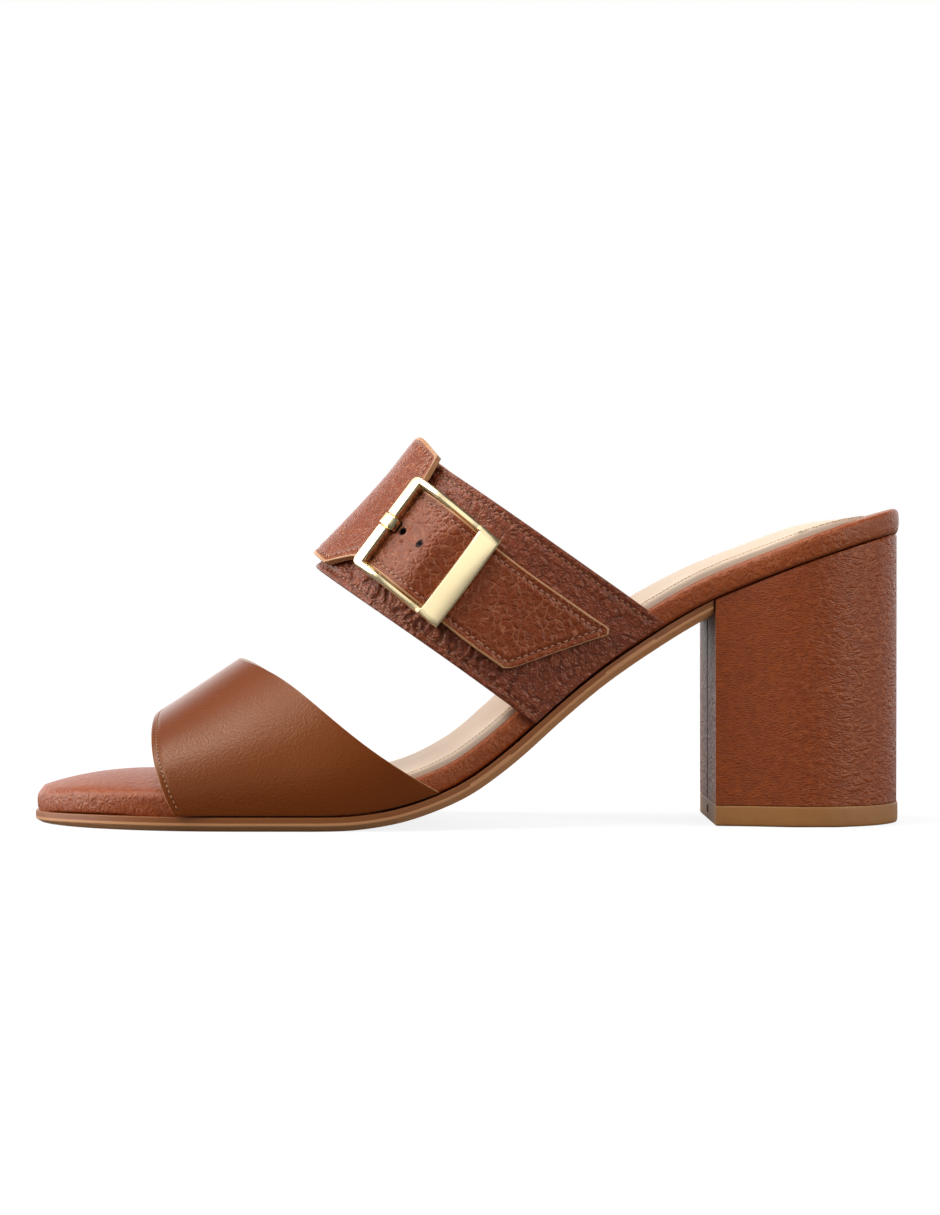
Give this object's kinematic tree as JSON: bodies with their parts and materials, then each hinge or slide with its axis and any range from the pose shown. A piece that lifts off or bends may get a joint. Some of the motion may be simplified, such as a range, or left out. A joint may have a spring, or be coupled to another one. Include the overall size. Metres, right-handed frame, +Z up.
{
  "type": "heeled mule sandal",
  "caption": "Open-toe mule sandal with a smooth toe strap, a wide pebbled buckled instep strap, a wrapped footbed and a straight block heel; left shoe.",
  "frame": {"origin": "middle of the footprint's bounding box, on the floor the shoe stands on", "axes": "+X from toe to heel, +Y towards the inner side of the left foot, +Z up; the buckle is on the -Y side"},
  "size_m": [0.232, 0.0854, 0.1026],
  "materials": {
    "sole_edge": "painted edge, satin",
    "wrap_leather": "pebbled, satin",
    "sock_leather": "smooth, matt",
    "heel_leather": "pebbled, satin",
    "heel_rubber": "satin",
    "smooth_leather": "smooth, satin",
    "dark_pebbled_leather": "pebbled, semi-gloss",
    "pebbled_leather": "pebbled, semi-gloss",
    "buckle_gold": "polished, plated"
  },
  "bodies": {
    "root": {"outsole": "sole_edge", "footbed": "wrap_leather", "sock_lining": "sock_leather", "heel": "heel_leather", "top_piece": "heel_rubber", "toe_strap": "smooth_leather", "outer_band": "dark_pebbled_leather", "buckle_strap": "pebbled_leather", "buckle": "buckle_gold", "prong": "buckle_gold"}
  },
  "joints": []
}
